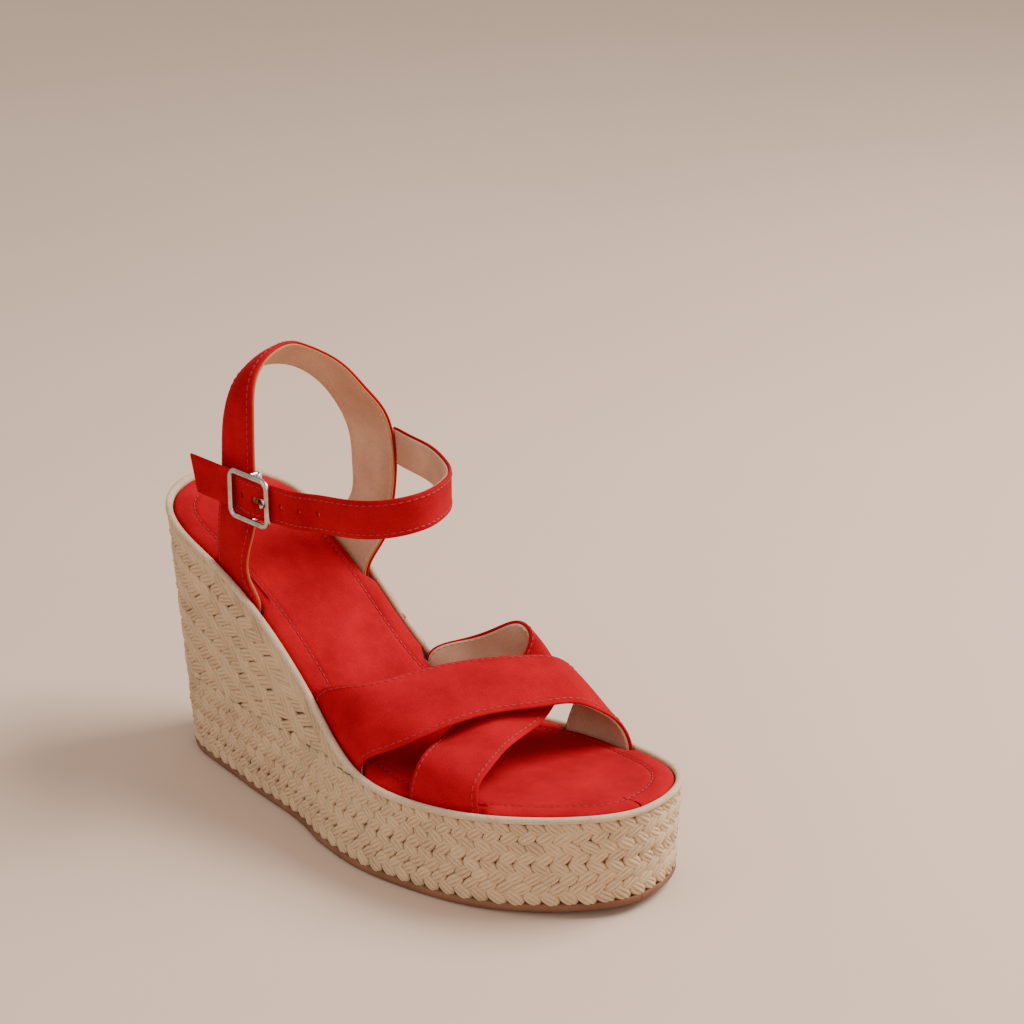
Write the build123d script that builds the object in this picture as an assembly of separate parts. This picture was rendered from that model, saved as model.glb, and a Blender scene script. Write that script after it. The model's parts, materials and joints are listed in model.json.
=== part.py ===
from build123d import *
import math
import os

os.makedirs("parts", exist_ok=True)

# Wedge sandal for the right foot, in millimetres.
# +X runs from heel to toe, +Y to the wearer's left (the inner, medial side), +Z up.
# The origin is the bottom centre of the whole sandal.
# A place on the footbed is given as u, the share of the footbed's length from the heel,
# a side (LATERAL or MEDIAL edge, or a share across), and a height above the footbed.

# ---- driving dimensions ----
FOOTBED_LENGTH = 228.0       # plan length of the footbed, heel to toe
FOOTBED_WIDTH = 84.2         # widest place, at the ball of the foot
HEEL_HEIGHT = 101.0          # footbed edge above the floor at the back of the heel
PLATFORM_HEIGHT = 32.8       # footbed edge above the floor under the ball
TOE_HEIGHT = 39.5            # footbed edge above the floor at the toe tip
TOE_SPRING = 3.3             # lift of the outsole at the toe tip
HEEL_RAKE = 8.8              # how far the back of the heel leans in on its way down
WAIST_FLARE = 5.3            # how far the block widens on its way down at mid length
TOE_RAKE = 2.4               # how far the toe leans in on its way down

OUTSOLE_THICKNESS = 2.8
JUTE_THICKNESS = 2.2
JUTE_RIM_WIDTH = 1.8         # plain jute edge along the footbed
PLATFORM_COURSES = 4         # level braids round the platform and the heel
FAN_COURSES = 6              # sloping braids above them, from the arch back round the heel

BOARD_THICKNESS = 1.6
FOAM_THICKNESS = 3.0
COVER_THICKNESS = 1.0
SHANK_LENGTH = 92.0
SHANK_WIDTH = 11.0
SHANK_THICKNESS = 1.0

SUEDE_THICKNESS = 1.2
LINING_THICKNESS = 0.9
GLUE_LINE = 0.1              # cement between a strap's suede and its lining
FIT_GAP = 0.55               # slack on each side of a strap end in its channel
STRAP_END_GAP = 0.3          # strap end above the wedge block

ANKLE_STRAP_WIDTH = 14.2
HOLE_PITCH = 10.0
HOLE_DIAMETER = 2.0
HOLE_COUNT = 5
PRONG_HOLE = 1               # which hole, from the tail end, the prong is in
TAIL_LENGTH = 22.0           # free strap behind the buckle
TAIL_SLANT = 4.0             # how much further back the tip's top corner is

BUCKLE_LENGTH = 23.0         # along the strap
BUCKLE_WIRE = 2.1
BUCKLE_STRAP_GAP = 0.3       # between the strap's edges and the frame
BUCKLE_CORNER = 4.2
CENTRE_BAR_DIAMETER = 1.8
PRONG_WIRE = 1.7
PRONG_BORE_GAP = 0.05        # running clearance of the prong's eye on the centre bar
PRONG_SLOT_WIDTH = 2.6
STRAP_WEAVE = 1.8            # how far the strap rises over the centre bar
ELASTIC_WIDTH = 11.0
ELASTIC_THICKNESS = 0.9
JOINT_GAP = 0.3              # between pieces that move apart
CEMENT = 0.45                # cement between the block and what is glued round and on it

LATERAL, MEDIAL = -1, 1

# ---- shape tables: shares of the footbed's length and width ----
STATIONS = [0.04, 0.16, 0.30, 0.45, 0.60, 0.72, 0.84, 0.95]
MEDIAL_HALF = [0.255, 0.314, 0.254, 0.258, 0.399, 0.498, 0.457, 0.333]
LATERAL_HALF = [0.264, 0.362, 0.386, 0.411, 0.507, 0.502, 0.428, 0.240]
CENTRE_HEEL, CENTRE_TOE = -0.0157, 0.110

# Height of the footbed's edge: station and share of the drop from heel to platform.
PROFILE_STATIONS = [0.0, 0.15, 0.32, 0.5, 0.66, 0.8, 1.0]
PROFILE_SHARES = [1.0, 0.827, 0.579, 0.132, 0.0]


def natural_spline(knots, values):
    """A smooth curve through the values, straight beyond the first and last knots."""
    count = len(knots)
    gaps = [knots[i + 1] - knots[i] for i in range(count - 1)]
    rises = [(values[i + 1] - values[i]) / gaps[i] for i in range(count - 1)]
    bends = [0.0] * count
    for _ in range(400):
        for i in range(1, count - 1):
            pull = 6.0 * (rises[i] - rises[i - 1])
            pull -= gaps[i - 1] * bends[i - 1] + gaps[i] * bends[i + 1]
            bends[i] = pull / (2.0 * (gaps[i - 1] + gaps[i]))

    def value(x):
        if x <= knots[0]:
            slope = rises[0] - gaps[0] * bends[1] / 6.0
            return values[0] + slope * (x - knots[0])
        if x >= knots[-1]:
            slope = rises[-1] + gaps[-1] * bends[-2] / 6.0
            return values[-1] + slope * (x - knots[-1])
        i = max(j for j in range(count - 1) if knots[j] <= x)
        a = (knots[i + 1] - x) / gaps[i]
        b = 1.0 - a
        curve = (a ** 3 - a) * bends[i] + (b ** 3 - b) * bends[i + 1]
        return a * values[i] + b * values[i + 1] + curve * gaps[i] ** 2 / 6.0

    return value


def rounded_ends(halves):
    """Half width at u, rounded off at heel and toe like an ellipse."""
    roots = [math.sqrt(u * (1.0 - u)) for u in STATIONS]
    ratio = natural_spline(STATIONS, [FOOTBED_WIDTH * h / r for h, r in zip(halves, roots)])
    return lambda u: ratio(u) * math.sqrt(max(u * (1.0 - u), 0.0))


medial_half = rounded_ends(MEDIAL_HALF)
lateral_half = rounded_ends(LATERAL_HALF)
drop = HEEL_HEIGHT - PLATFORM_HEIGHT
profile = natural_spline(
    [u * FOOTBED_LENGTH for u in PROFILE_STATIONS],
    [PLATFORM_HEIGHT + drop * share for share in PROFILE_SHARES]
    + [PLATFORM_HEIGHT + 0.25 * (TOE_HEIGHT - PLATFORM_HEIGHT), TOE_HEIGHT],
)


def footbed_z(x):
    """Height of the footbed's edge at x."""
    return profile(x)


def sole_z(x):
    """Height of the outsole's lower face at x: level, with a toe spring in front."""
    start = 0.72 * FOOTBED_LENGTH
    return TOE_SPRING * max((x - start) / (FOOTBED_LENGTH - start), 0.0) ** 2


def edge_xy(u, side):
    """Plan point of the footbed's edge."""
    centre = FOOTBED_WIDTH * (CENTRE_HEEL + (CENTRE_TOE - CENTRE_HEEL) * u)
    half = medial_half(u) if side == MEDIAL else lateral_half(u)
    return (u * FOOTBED_LENGTH, centre + side * half)


def ring_xy(turn, out):
    """Plan point round the footbed at turn (0 heel, 0.5 toe), moved outwards by out."""
    def on_edge(t):
        u = 0.5 * (1.0 - math.cos(2.0 * math.pi * t))
        return edge_xy(u, LATERAL if math.sin(2.0 * math.pi * t) >= 0 else MEDIAL)

    step = 0.002
    x, y = on_edge(turn)
    ax, ay = on_edge(turn - step)
    bx, by = on_edge(turn + step)
    size = math.hypot(bx - ax, by - ay)
    return (x + out * (by - ay) / size, y - out * (bx - ax) / size)


def lean(u):
    """How far the block's foot stands outside the footbed's edge, at u."""
    if u < 0.5:
        return -HEEL_RAKE + (WAIST_FLARE + HEEL_RAKE) * u / 0.5
    return WAIST_FLARE - (WAIST_FLARE + TOE_RAKE) * (u - 0.5) / 0.5


RING_POINTS = 40             # points round the footbed, from the heel over the outer side
SLIVER = 0.6                 # a fan course ends where it is thinner than this


def polyhedron(triangles):
    """A solid from triangles, skipping those with no area."""
    faces = []
    for a, b, c in triangles:
        if (b - a).cross(c - a).length > 1e-4:
            faces.append(Face(Wire.make_polygon([a, b, c], close=True)))
    return Solid(Shell(faces))


def quads(first, second, closed):
    """Triangles between two rows of points."""
    count = len(first)
    triangles = []
    for i in range(count if closed else count - 1):
        j = (i + 1) % count
        triangles.append((first[i], first[j], second[j]))
        triangles.append((first[i], second[j], second[i]))
    return triangles


def turns():
    return [(i + 0.5) / RING_POINTS for i in range(RING_POINTS)]


def wall_point(turn, out, height):
    """Point of the leaning wall, moved out by out, where height(x) gives its z."""
    u = 0.5 * (1.0 - math.cos(2.0 * math.pi * turn))
    tx, ty = ring_xy(turn, out)
    bx, by = ring_xy(turn, out + lean(u))
    z = height(tx)
    share = z / footbed_z(tx)
    return Vector(bx + (tx - bx) * share, by + (ty - by) * share, z)


def sheet(out, low, high):
    """Solid that fills the wall's outline between two height functions."""
    lower = [wall_point(t, out, low) for t in turns()]
    upper = [wall_point(t, out, high) for t in turns()]
    half = RING_POINTS // 2
    triangles = quads(lower, upper, True)
    for ring in (lower, upper):
        triangles += quads(ring[:half], ring[:half - 1:-1], False)
    return polyhedron(triangles)


def band(low, high):
    """Jute band round the block between two height functions; it ends where it runs out."""
    used = [t for t in turns() if high(ring_xy(t, 0.0)[0]) - low(ring_xy(t, 0.0)[0]) > SLIVER]
    closed = len(used) == RING_POINTS
    if not closed:
        used = [t for t in used if t > 0.5] + [t for t in used if t < 0.5]
    rows = []
    for out, height in ((0.0, low), (JUTE_THICKNESS, low), (JUTE_THICKNESS, high), (0.0, high)):
        rows.append([wall_point(t, out, height) for t in used])
    inner_low, outer_low, outer_high, inner_high = rows
    triangles = quads(inner_low, inner_high, closed) + quads(outer_low, outer_high, closed)
    triangles += quads(inner_low, outer_low, closed) + quads(inner_high, outer_high, closed)
    if not closed:
        for end in (0, -1):
            a, b, c, d = [row[end] for row in rows]
            triangles += [(a, b, c), (a, c, d)]
    return polyhedron(triangles)


def below_footbed(depth):
    """Height function of the line at a true distance below the footbed's edge line."""
    def height(x):
        slope = (footbed_z(x + 1.0) - footbed_z(x - 1.0)) / 2.0
        return footbed_z(x) - depth * math.hypot(1.0, slope)
    return height


# ---- levels ----
PLATFORM_END = 0.592 * FOOTBED_LENGTH    # behind this x the footbed climbs off the platform


def course_z(level):
    """Height function of the top of level course number level (0 is the outsole's top)."""
    def height(x):
        under = sole_z(x) + OUTSOLE_THICKNESS
        top = below_footbed(JUTE_RIM_WIDTH)(max(x, PLATFORM_END))
        return under + (top - under) * level / PLATFORM_COURSES
    return height


STACK_THICKNESS = BOARD_THICKNESS + FOAM_THICKNESS + COVER_THICKNESS
STRAP_THICKNESS = SUEDE_THICKNESS + GLUE_LINE + LINING_THICKNESS
CHANNEL = STRAP_THICKNESS + 2.0 * FIT_GAP
SEAM_INSET = FIT_GAP + SUEDE_THICKNESS   # the suede's inner face, inside the footbed's edge


def make_shank(gap):
    """Spring steel strip let into the block's top along the arch, grown by gap."""
    start = 0.36 * FOOTBED_LENGTH - 0.5 * SHANK_LENGTH
    half = 0.5 * SHANK_WIDTH + gap
    top = below_footbed(STACK_THICKNESS + 2.0 * CEMENT)
    xs = [start - gap + (SHANK_LENGTH + 2.0 * gap) * i / 8 for i in range(9)]
    rows = []
    for y, drop_z in ((-half, SHANK_THICKNESS), (half, SHANK_THICKNESS), (half, -gap), (-half, -gap)):
        rows.append([Vector(x, y, top(x) - drop_z - (gap if drop_z > 0 else 9.0 * gap)) for x in xs])
    if gap > 0:
        rows[2] = [p + Vector(0, 0, 12.0 * gap + STACK_THICKNESS) for p in rows[2]]
        rows[3] = [p + Vector(0, 0, 12.0 * gap + STACK_THICKNESS) for p in rows[3]]
    triangles = []
    for first, second in zip(rows, rows[1:] + rows[:1]):
        triangles += quads(first, second, False)
    for end in (0, -1):
        a, b, c, d = [row[end] for row in rows]
        triangles += [(a, b, c), (a, c, d)]
    return polyhedron(triangles)


def make_wedge_core():
    """Light block under the footbed stack, grooved for the shank; the jute is wound round it."""
    over_sole = course_z(0)
    block = sheet(-CEMENT, lambda x: over_sole(x) + CEMENT, below_footbed(STACK_THICKNESS + CEMENT))
    return block - make_shank(FIT_GAP)


def make_jute():
    """Level courses, sloping fan courses and the plain rim, one closed ring or U each."""
    pieces = {"jute_rim": band(below_footbed(JUTE_RIM_WIDTH), footbed_z)}
    for level in range(PLATFORM_COURSES):
        pieces[f"jute_course_{level + 1}"] = band(course_z(level), course_z(level + 1))
    platform_top = course_z(PLATFORM_COURSES)
    slope = (footbed_z(0.0) - footbed_z(10.0)) / 10.0
    fan_height = HEEL_HEIGHT - JUTE_RIM_WIDTH - platform_top(0.0)
    width = fan_height / math.hypot(1.0, slope) / FAN_COURSES
    for number in range(FAN_COURSES):
        top = below_footbed(JUTE_RIM_WIDTH + width * number)
        last = number == FAN_COURSES - 1
        low = below_footbed(JUTE_RIM_WIDTH + width * (number + (2 if last else 1)))
        pieces[f"jute_fan_{number + 1}"] = band(
            lambda x, low=low: max(low(x), platform_top(x)),
            lambda x, top=top: max(top(x), platform_top(x)))
    return pieces


# ---- straps ----
def base_point(u, side, height):
    """Point of a strap's seam in its channel beside the footbed, at a height above the edge."""
    turn = math.acos(1.0 - 2.0 * u) / (2.0 * math.pi)
    x, y = ring_xy(turn if side == LATERAL else 1.0 - turn, -SEAM_INSET)
    return Vector(x, y, footbed_z(u * FOOTBED_LENGTH) + height)


def base_pair(u, side):
    """The two lowest points of one strap edge: in the channel, then level with the footbed."""
    buried = STRAP_END_GAP - STACK_THICKNESS
    return [base_point(u, side, buried), base_point(u, side, 0.0)]


def over_footbed(points):
    """Strap edge points given as (u, share of the full width from the middle, height above)."""
    return [
        Vector(u * FOOTBED_LENGTH, v * FOOTBED_WIDTH, footbed_z(u * FOOTBED_LENGTH) + height)
        for u, v, height in points
    ]


def over_heel(points):
    """Strap edge points given as (u, share of the full width, height above the heel seat)."""
    return [
        Vector(u * FOOTBED_LENGTH, v * FOOTBED_WIDTH, HEEL_HEIGHT + height)
        for u, v, height in points
    ]


CROWN_MIDDLE = 1.5           # how far a strap bulges across its width, half way along


def ribbon(rear, front, near, far, crown_ends, crown_middle, count):
    """A strap layer between two edge curves, from distance near to far outside the seam."""
    rear_edge = Spline(*rear)
    front_edge = Spline(*front)
    rows = [[] for _ in range(6)]
    for i in range(count):
        t = i / (count - 1)
        a = rear_edge @ t
        b = front_edge @ t
        along = (rear_edge % t) + (front_edge % t)
        out = (b - a).cross(along).normalized()
        crown_base = crown_ends[0] * (1.0 - t) + crown_ends[1] * t
        crown = crown_base + (crown_middle - crown_base) * math.sin(math.pi * t)
        middle = (a + b) * 0.5 + out * crown
        around = [(a, near), (middle, near), (b, near), (b, far), (middle, far), (a, far)]
        for row, (point, distance) in zip(rows, around):
            row.append(point + out * distance)
    pairs = ((0, 1), (1, 2), (5, 4), (4, 3), (0, 5), (2, 3))
    triangles = []
    for first, second in pairs:
        triangles += quads(rows[first], rows[second], False)
    for end in (0, -1):
        a, b, c, d, e, f = [row[end] for row in rows]
        triangles += [(a, b, e), (a, e, f), (b, c, d), (b, d, e)]
    return polyhedron(triangles)


def two_layers(rear, front, crown_ends, crown_middle, count):
    """Suede outside, lining inside, with a line of cement between."""
    suede = ribbon(rear, front, 0.0, SUEDE_THICKNESS, crown_ends, crown_middle, count)
    inner = -GLUE_LINE - LINING_THICKNESS
    lining = ribbon(rear, front, inner, -GLUE_LINE, crown_ends, crown_middle, count)
    return suede, lining


def sagitta(u0, u1, side):
    """How far the footbed's edge bulges past the chord between two stations."""
    a = base_point(u0, side, 0.0)
    b = base_point(u1, side, 0.0)
    middle = base_point(0.5 * (u0 + u1), side, 0.0)
    return side * (middle.Y - 0.5 * (a.Y + b.Y))


def strap_over_foot(lateral, medial, rear, front, count):
    """Two-layer strap between its lateral and medial stations (rear u, front u)."""
    rear_edge = base_pair(lateral[0], LATERAL) + rear + base_pair(medial[0], MEDIAL)[::-1]
    front_edge = base_pair(lateral[1], LATERAL) + front + base_pair(medial[1], MEDIAL)[::-1]
    crowns = [sagitta(*lateral, LATERAL), sagitta(*medial, MEDIAL)]
    return two_layers(rear_edge, front_edge, crowns, CROWN_MIDDLE, count)


def make_over_strap():
    """Vamp strap on top, from the arch on the outer side to the ball on the inner side."""
    rear = over_footbed([
        (0.512, -0.261, 16.8), (0.555, -0.059, 23.4), (0.604, 0.190, 28.4),
        (0.643, 0.344, 29.6), (0.673, 0.487, 26.8), (0.686, 0.552, 17.4),
    ])
    front = over_footbed([
        (0.632, -0.380, 10.3), (0.684, -0.232, 18.4), (0.711, -0.012, 21.0), (0.746, 0.190, 20.7),
        (0.770, 0.347, 19.3), (0.785, 0.439, 14.8), (0.803, 0.517, 8.3),
    ])
    return strap_over_foot((0.446, 0.585), (0.671, 0.820), rear, front, 17)


def make_under_strap():
    """Vamp strap below it, from the ball on the outer side to the arch on the inner side."""
    rear = over_footbed([
        (0.693, -0.356, 10.8), (0.669, -0.184, 13.0), (0.655, 0.0, 17.6), (0.640, 0.190, 21.0),
        (0.624, 0.333, 22.6), (0.609, 0.463, 32.8), (0.590, 0.470, 34.6), (0.549, 0.435, 28.6),
        (0.491, 0.368, 15.2),
    ])
    front = over_footbed([
        (0.816, -0.327, 7.0), (0.805, -0.243, 11.4), (0.765, 0.012, 13.6), (0.752, 0.160, 14.6),
        (0.724, 0.333, 17.2), (0.693, 0.445, 19.2), (0.655, 0.520, 19.6), (0.618, 0.535, 15.8),
        (0.583, 0.481, 8.3),
    ])
    return strap_over_foot((0.697, 0.825), (0.443, 0.557), rear, front, 21)


def make_heel_sling():
    """Inverted U over the heel that holds the ankle strap."""
    rear = over_heel([
        (0.215, -0.362, 6.0), (0.228, -0.362, 27.0), (0.232, -0.350, 44.0), (0.229, -0.285, 53.8),
        (0.220, -0.143, 57.5), (0.222, -0.012, 56.0), (0.224, 0.095, 51.5), (0.228, 0.190, 44.5),
        (0.232, 0.261, 36.0), (0.236, 0.315, 25.0), (0.236, 0.333, 11.0), (0.231, 0.331, -1.0),
    ])
    front = over_heel([
        (0.287, -0.367, -17.0), (0.305, -0.368, 4.5), (0.309, -0.364, 28.0), (0.307, -0.356, 48.0),
        (0.297, -0.315, 60.0), (0.284, -0.202, 66.5), (0.268, -0.059, 67.0), (0.256, 0.048, 63.5),
        (0.262, 0.131, 59.5), (0.277, 0.202, 54.5), (0.303, 0.273, 45.0), (0.321, 0.327, 37.0),
        (0.331, 0.350, 28.0), (0.335, 0.356, 13.0), (0.333, 0.344, 2.0), (0.320, 0.321, -13.0),
    ])
    return strap_over_foot((0.197, 0.300), (0.197, 0.304), rear, front, 31)


# ---- ankle strap, buckle and elastic ----
BUCKLE_X = 0.341 * FOOTBED_LENGTH        # centre bar
STRAP_Y = -0.432 * FOOTBED_WIDTH         # seam of the ankle strap under the buckle's bars
STRAP_Z = HEEL_HEIGHT + 20.5             # middle of the ankle strap at the buckle
BAR_REACH = 0.5 * (BUCKLE_LENGTH - BUCKLE_WIRE)
EYE_RADIUS = 0.5 * CENTRE_BAR_DIAMETER + PRONG_BORE_GAP + 1.0
BAR_Y = STRAP_Y - STRAP_WEAVE + GLUE_LINE + LINING_THICKNESS + JOINT_GAP + EYE_RADIUS
BUCKLE_PLAY = 2.0 * JOINT_GAP
FRAME_Y = STRAP_Y - SUEDE_THICKNESS - BUCKLE_PLAY - 0.5 * BUCKLE_WIRE
TAIL_X = BUCKLE_X - BAR_REACH - BUCKLE_WIRE


def ankle_line():
    """Middle of the ankle strap, from the inner post round the front of the ankle to the tail."""
    curve = over_heel([
        (0.341, 0.361, 22.6), (0.374, 0.350, 23.0), (0.434, 0.303, 24.3), (0.513, 0.202, 26.3),
        (0.590, 0.059, 28.2), (0.625, -0.071, 29.2), (0.636, -0.166, 29.0), (0.623, -0.297, 27.8),
        (0.570, -0.380, 25.4), (0.491, -0.418, 23.4),
    ])
    steps = [
        (BUCKLE_X + 2.2 * BAR_REACH, STRAP_Y + 0.6, STRAP_Z + 1.0),
        (BUCKLE_X + BAR_REACH, STRAP_Y, STRAP_Z + 0.2),
        (BUCKLE_X, STRAP_Y - STRAP_WEAVE, STRAP_Z),
        (BUCKLE_X - BAR_REACH, STRAP_Y, STRAP_Z),
        (TAIL_X, STRAP_Y, STRAP_Z),
    ]
    return curve + [Vector(*step) for step in steps]


def make_ankle_strap():
    """Punched strap, with a slot where the prong comes through, up to the loose tail."""
    half = Vector(0, 0, 0.5 * ANKLE_STRAP_WIDTH)
    middle = ankle_line()
    layers = two_layers([p - half for p in middle], [p + half for p in middle], [0.0, 0.0], 0.0, 49)
    line = Spline(*middle)
    samples = [line @ (0.5 + 0.5 * i / 400) for i in range(401)]
    slot_middle = BUCKLE_X + 0.5 * BAR_REACH
    cutters = []
    for number in range(HOLE_COUNT):
        x = slot_middle + HOLE_PITCH * (number - PRONG_HOLE)
        centre = min(samples, key=lambda p: abs(p.X - x))
        if number == PRONG_HOLE:
            slot = Box(0.75 * BAR_REACH, 8.0 * STRAP_THICKNESS, PRONG_SLOT_WIDTH)
            cutters.append(Pos(x, centre.Y, STRAP_Z) * slot)
        else:
            hole = Cylinder(0.5 * HOLE_DIAMETER, 4.0 * STRAP_THICKNESS, rotation=(90, 0, 0))
            cutters.append(Pos(x, centre.Y, centre.Z) * hole)
    pieces = []
    for layer in layers:
        for cutter in cutters:
            layer = layer - cutter
        pieces.append(layer)
    return pieces


def make_strap_tail(near, far):
    """Loose end behind the buckle, cut on a slant, from near to far outside the seam."""
    start = TAIL_X - JOINT_GAP
    low = STRAP_Z - 0.5 * ANKLE_STRAP_WIDTH
    high = STRAP_Z + 0.5 * ANKLE_STRAP_WIDTH
    end = start - TAIL_LENGTH
    corners = [(start, low), (start, high), (end - 0.5 * TAIL_SLANT, high), (end + 0.5 * TAIL_SLANT, low)]
    outline = Polyline(*[(x, STRAP_Y - near, z) for x, z in corners], close=True)
    return extrude(Face(Wire(outline.edges())), amount=far - near, dir=(0, -1, 0))


def make_buckle_frame():
    """Rounded square ring outside the strap, with a centre bar on two legs inside it."""
    inner_height = ANKLE_STRAP_WIDTH + 2.0 * BUCKLE_STRAP_GAP
    height = inner_height + BUCKLE_WIRE
    plane = Plane(origin=(BUCKLE_X, FRAME_Y, STRAP_Z), x_dir=(1, 0, 0), z_dir=(0, -1, 0))
    path = (plane * RectangleRounded(2.0 * BAR_REACH, height, BUCKLE_CORNER)).face().outer_wire()
    start = path @ 0
    section = Plane(origin=start, z_dir=path % 0) * Circle(0.5 * BUCKLE_WIRE)
    ring = sweep(section, path=path)
    bar = Cylinder(0.5 * CENTRE_BAR_DIAMETER, height)
    bar = Pos(BUCKLE_X, BAR_Y, STRAP_Z) * bar
    leg_length = BAR_Y - FRAME_Y
    frame = ring + bar
    for end in (-1, 1):
        leg = Cylinder(0.5 * CENTRE_BAR_DIAMETER, leg_length, rotation=(90, 0, 0))
        knee = Sphere(0.5 * CENTRE_BAR_DIAMETER)
        z = STRAP_Z + end * 0.5 * height
        frame = frame + Pos(BUCKLE_X, FRAME_Y + 0.5 * leg_length, z) * leg
        frame = frame + Pos(BUCKLE_X, BAR_Y, z) * knee
    return frame


def make_buckle_prong():
    """Wire prong: an eye round the centre bar and an arm that rests on the front bar."""
    eye = Cylinder(EYE_RADIUS, 2.0 * PRONG_WIRE) - Cylinder(
        0.5 * CENTRE_BAR_DIAMETER + PRONG_BORE_GAP, 4.0 * PRONG_WIRE)
    eye = Pos(BUCKLE_X, BAR_Y, STRAP_Z) * eye
    rest_y = FRAME_Y - 1.3 * (0.5 * BUCKLE_WIRE + 0.5 * PRONG_WIRE)
    start = Vector(BUCKLE_X + EYE_RADIUS - 0.3 * PRONG_WIRE, BAR_Y - 0.5 * EYE_RADIUS, STRAP_Z)
    tip = Vector(BUCKLE_X + BAR_REACH + 0.3 * PRONG_WIRE, rest_y, STRAP_Z)
    axis = Plane(origin=start, z_dir=tip - start)
    arm = extrude(axis * Circle(0.5 * PRONG_WIRE), amount=(tip - start).length)
    return eye + arm + Pos(*tip) * Sphere(0.5 * PRONG_WIRE)


def make_elastic_gore():
    """Two-ply elastic, sewn inside the outer post, looped round the buckle's centre bar."""
    post_y = -0.367 * FOOTBED_WIDTH + GLUE_LINE + LINING_THICKNESS + JOINT_GAP + ELASTIC_THICKNESS
    loop = 0.5 * CENTRE_BAR_DIAMETER + GLUE_LINE + 0.5 * ELASTIC_THICKNESS
    sewn_end = 0.262 * FOOTBED_LENGTH
    post_front = 0.312 * FOOTBED_LENGTH
    path = Polyline((sewn_end, post_y), (post_front, post_y), (BUCKLE_X - loop, BAR_Y + 0.3 * loop))
    band = trace(path, line_width=ELASTIC_THICKNESS)
    round_bar = Pos(BUCKLE_X, BAR_Y) * (
        Circle(loop + 0.5 * ELASTIC_THICKNESS) - Circle(loop - 0.5 * ELASTIC_THICKNESS))
    bar_hole = Pos(BUCKLE_X, BAR_Y) * Circle(loop - 0.5 * ELASTIC_THICKNESS)
    gore = extrude(band + round_bar - bar_hole, amount=0.5 * ELASTIC_WIDTH, both=True)
    prong_gap = Box(6.0 * loop, 6.0 * loop, 2.0 * PRONG_WIRE + 2.0 * JOINT_GAP)
    return Pos(0, 0, STRAP_Z) * (gore - Pos(BUCKLE_X, BAR_Y, 0) * prong_gap)


def build():
    """All pieces by name, in the sandal's own frame."""
    foam_top = below_footbed(COVER_THICKNESS)
    board_top = below_footbed(COVER_THICKNESS + FOAM_THICKNESS)
    pieces = {
        "outsole": sheet(JUTE_THICKNESS, sole_z, course_z(0)),
        "wedge_core": make_wedge_core(),
        "insole_board": sheet(-CHANNEL, below_footbed(STACK_THICKNESS), board_top),
        "shank": make_shank(0.0),
        "footbed_foam": sheet(-CHANNEL, board_top, foam_top),
        "footbed_cover": sheet(-CHANNEL, foam_top, footbed_z),
    }
    pieces.update(make_jute())
    pieces["vamp_over_strap"], pieces["vamp_over_lining"] = make_over_strap()
    pieces["vamp_under_strap"], pieces["vamp_under_lining"] = make_under_strap()
    pieces["heel_sling"], pieces["heel_sling_lining"] = make_heel_sling()
    pieces["ankle_strap"], pieces["ankle_strap_lining"] = make_ankle_strap()
    pieces["strap_tail"] = make_strap_tail(0.0, SUEDE_THICKNESS)
    pieces["strap_tail_lining"] = make_strap_tail(-GLUE_LINE - LINING_THICKNESS, -GLUE_LINE)
    pieces["elastic_gore"] = make_elastic_gore()
    pieces["buckle_frame"] = make_buckle_frame()
    pieces["buckle_prong"] = make_buckle_prong()
    return pieces


pieces = build()
boxes = [piece.bounding_box() for piece in pieces.values()]
centre_x = 0.5 * (min(b.min.X for b in boxes) + max(b.max.X for b in boxes))
centre_y = 0.5 * (min(b.min.Y for b in boxes) + max(b.max.Y for b in boxes))
floor_z = min(b.min.Z for b in boxes)
for name, piece in pieces.items():
    placed = Pos(-centre_x, -centre_y, -floor_z) * piece
    export_step(Compound(children=list(placed.solids())), f"parts/{name}.step")
print("moved by", round(-centre_x, 4), round(-centre_y, 4), round(-floor_z, 4))
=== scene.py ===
import bmesh
import bpy
import json
import math
import numpy as np
from mathutils import Matrix, Vector


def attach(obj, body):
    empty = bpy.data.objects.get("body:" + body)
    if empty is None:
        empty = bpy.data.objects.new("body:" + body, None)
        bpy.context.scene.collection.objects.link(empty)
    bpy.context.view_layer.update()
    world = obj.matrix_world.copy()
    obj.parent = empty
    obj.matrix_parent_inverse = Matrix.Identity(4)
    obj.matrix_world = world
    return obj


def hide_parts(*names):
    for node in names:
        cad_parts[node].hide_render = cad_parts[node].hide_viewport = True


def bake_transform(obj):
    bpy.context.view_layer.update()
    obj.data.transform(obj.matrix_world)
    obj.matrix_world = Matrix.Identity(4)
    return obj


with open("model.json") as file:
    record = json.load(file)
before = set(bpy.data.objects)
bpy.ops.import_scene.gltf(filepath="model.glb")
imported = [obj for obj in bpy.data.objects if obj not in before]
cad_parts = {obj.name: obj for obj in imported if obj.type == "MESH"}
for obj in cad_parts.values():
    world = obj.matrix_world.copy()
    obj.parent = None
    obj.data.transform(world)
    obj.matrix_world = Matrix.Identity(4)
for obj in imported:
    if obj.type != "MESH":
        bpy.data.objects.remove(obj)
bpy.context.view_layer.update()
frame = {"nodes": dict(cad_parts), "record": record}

# ---- Outsole ----
# A thin brown rubber sheet cemented under the block and trimmed flush with the braid.
# It lies flat from the heel to the ball and lifts a little at the toe.

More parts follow.
